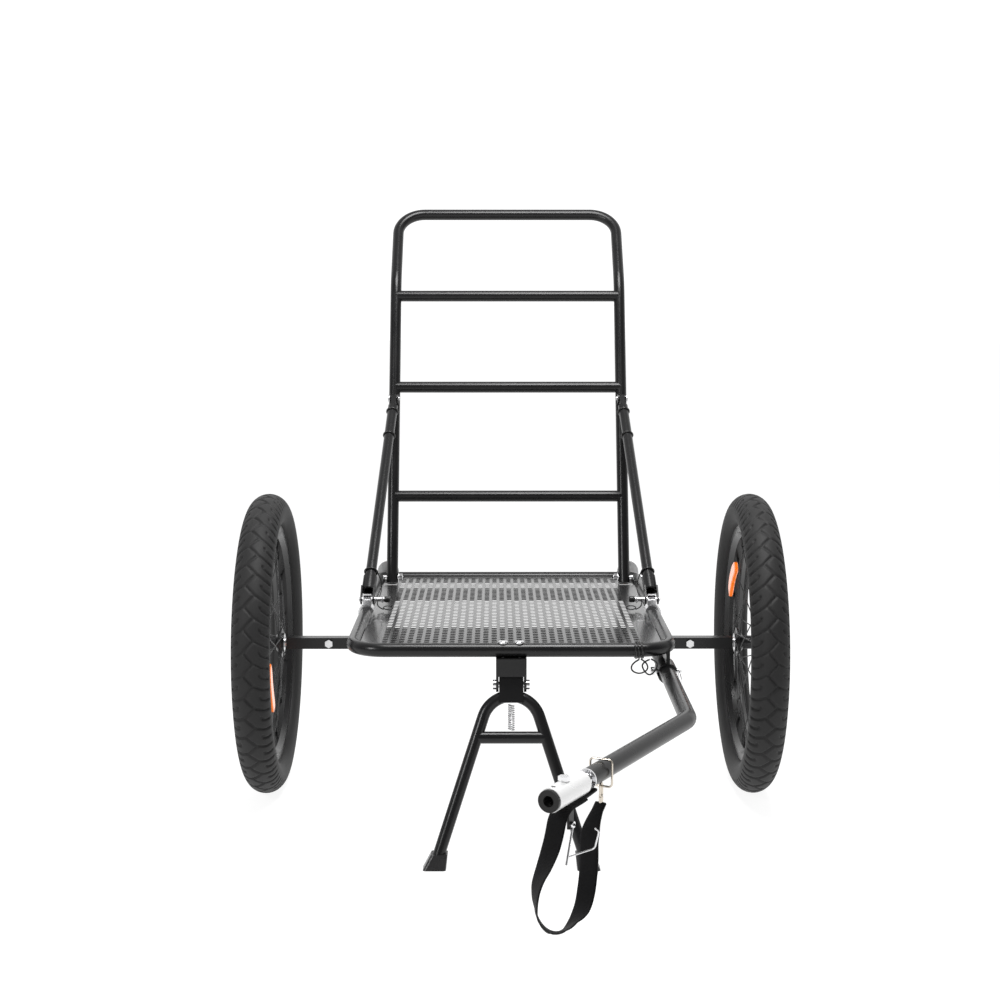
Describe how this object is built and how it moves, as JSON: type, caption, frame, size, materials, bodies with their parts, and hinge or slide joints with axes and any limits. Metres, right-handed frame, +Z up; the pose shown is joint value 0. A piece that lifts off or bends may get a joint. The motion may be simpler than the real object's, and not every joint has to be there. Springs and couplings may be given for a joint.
{
  "type": "bicycle trailer",
  "caption": "Two-wheeled bicycle trailer with a tubular frame, perforated deck, folding backrest with side struts, prop stand and an angled drawbar with a ball-jointed coupler.",
  "frame": {"origin": "on the floor, under the centre of the trailer's box", "axes": "+Y towards the rear, -Y towards the bicycle, +X to the right as seen from the bicycle, +Z up"},
  "size_m": [0.9266, 1.687, 1.0591],
  "materials": {
    "frame_black": "satin",
    "plate_black": "satin",
    "tyre": "matte",
    "inner_tube": "matte",
    "rim_black": "gloss",
    "spoke_steel": "satin",
    "hub_alloy": "polished",
    "zinc": "zinc plated",
    "chrome": "polished",
    "sleeve_zinc": "zinc plated",
    "black_plastic": "matte",
    "rubber": "matte",
    "amber": "gloss",
    "reflector_grey": "gloss",
    "reflector_clear": "gloss",
    "nickel": "nickel plated",
    "webbing": "woven"
  },
  "bodies": {
    "chassis": {"deck_frame": "frame_black", "deck_plate": "plate_black", "deck_crossmembers": "frame_black", "axle_bar": "frame_black", "axle_brackets": "frame_black", "wheel_axles": "zinc", "axle_bolts": "zinc", "axle_nuts": "zinc", "reflector_housings": "reflector_grey", "reflector_lenses": "reflector_clear", "backrest_pivot_bolts": "zinc", "strut_clevises": "zinc", "stand_bracket": "frame_black", "stand_bolts": "chrome", "drawbar_receivers": "frame_black"},
    "wheel_left_body": {"tyre_left": "tyre", "inner_tube_left": "inner_tube", "rim_left": "rim_black", "spokes_left": "spoke_steel", "hub_left": "hub_alloy", "bearings_left": "zinc", "wheel_reflector_left": "amber"},
    "wheel_right_body": {"tyre_right": "tyre", "inner_tube_right": "inner_tube", "rim_right": "rim_black", "spokes_right": "spoke_steel", "hub_right": "hub_alloy", "bearings_right": "zinc", "wheel_reflector_right": "amber"},
    "backrest": {"backrest_frame": "frame_black", "backrest_crossbars": "frame_black", "strut_ears": "frame_black", "strut_top_pins": "zinc"},
    "strut_left": {"strut_tube_left": "frame_black", "strut_sleeve_left": "frame_black"},
    "strut_right": {"strut_tube_right": "frame_black", "strut_sleeve_right": "frame_black"},
    "strut_pin_left_body": {"strut_pin_left": "black_plastic"},
    "strut_pin_right_body": {"strut_pin_right": "black_plastic"},
    "stand": {"stand_frame": "frame_black", "stand_hub": "frame_black", "stand_feet": "rubber", "stand_spring": "zinc"},
    "drawbar": {"drawbar_tube": "frame_black", "strap_ring": "nickel", "hitch_tab": "black_plastic", "safety_strap": "webbing", "snap_hook": "nickel"},
    "lock_pin_body": {"lock_pin": "zinc"},
    "coupler_swivel": {"coupler_socket": "sleeve_zinc"},
    "coupler": {"coupler_link": "chrome", "coupler_sleeve": "sleeve_zinc", "coupler_bush": "black_plastic", "coupler_bolt": "chrome"},
    "hitch_pin_body": {"hitch_pin": "chrome", "hitch_bail": "chrome"},
    "snap_gate_body": {"snap_gate": "nickel"}
  },
  "joints": [
    {"name": "wheel_left_spin", "type": "hinge", "parent": "chassis", "child": "wheel_left_body", "pos_m": [-0.428, 0.17827, 0.265], "axis": [1, 0, 0], "continuous": true},
    {"name": "wheel_right_spin", "type": "hinge", "parent": "chassis", "child": "wheel_right_body", "pos_m": [0.428, 0.17827, 0.265], "axis": [1, 0, 0], "continuous": true},
    {"name": "backrest_fold", "type": "hinge", "parent": "chassis", "child": "backrest", "pos_m": [0, 0.48722, 0.33], "axis": [1, 0, 0], "range_deg": [0, 102]},
    {"name": "strut_left_fold", "type": "hinge", "parent": "backrest", "child": "strut_left", "pos_m": [-0.2275, 0.58528, 0.67508], "axis": [1, 0, 0], "range_deg": [-140, 0]},
    {"name": "strut_pin_left_pull", "type": "slide", "parent": "strut_left", "child": "strut_pin_left_body", "axis": [1, 0, 0], "range_m": [0, 0.03]},
    {"name": "strut_right_fold", "type": "hinge", "parent": "backrest", "child": "strut_right", "pos_m": [0.2275, 0.58528, 0.67508], "axis": [1, 0, 0], "range_deg": [-140, 0]},
    {"name": "strut_pin_right_pull", "type": "slide", "parent": "strut_right", "child": "strut_pin_right_body", "axis": [-1, 0, 0], "range_m": [0, 0.03]},
    {"name": "stand_fold", "type": "hinge", "parent": "chassis", "child": "stand", "pos_m": [0, -0.16873, 0.27], "axis": [1, 0, 0], "range_deg": [0, 105]},
    {"name": "drawbar_slide", "type": "slide", "parent": "chassis", "child": "drawbar", "axis": [0, -1, 0], "range_m": [0, 0.1]},
    {"name": "lock_pin_pull", "type": "slide", "parent": "drawbar", "child": "lock_pin_body", "axis": [-1, 0, 0], "range_m": [0, 0.05]},
    {"name": "coupler_roll", "type": "hinge", "parent": "drawbar", "child": "coupler_swivel", "pos_m": [0.08946, -0.72735, 0.283], "axis": [-0.4787, -0.878, 0], "range_deg": [-90, 90]},
    {"name": "coupler_yaw", "type": "hinge", "parent": "coupler_swivel", "child": "coupler", "pos_m": [0.08946, -0.72735, 0.283], "axis": [0, 0, 1], "range_deg": [-30, 30]},
    {"name": "hitch_pin_swing", "type": "hinge", "parent": "drawbar", "child": "hitch_pin_body", "pos_m": [0.06979, -0.77073, 0.2383], "axis": [0.878, -0.4787, 0], "range_deg": [-40, 40]},
    {"name": "snap_gate_open", "type": "hinge", "parent": "drawbar", "child": "snap_gate_body", "pos_m": [0.10727, -0.69469, 0.2543], "axis": [-0.878, 0.4787, 0], "range_deg": [0, 25]}
  ],
  "couplings": [
    {"joint": "strut_left_fold", "follows": "backrest_fold", "ratio": -1.3667},
    {"joint": "strut_right_fold", "follows": "backrest_fold", "ratio": -1.3667}
  ]
}
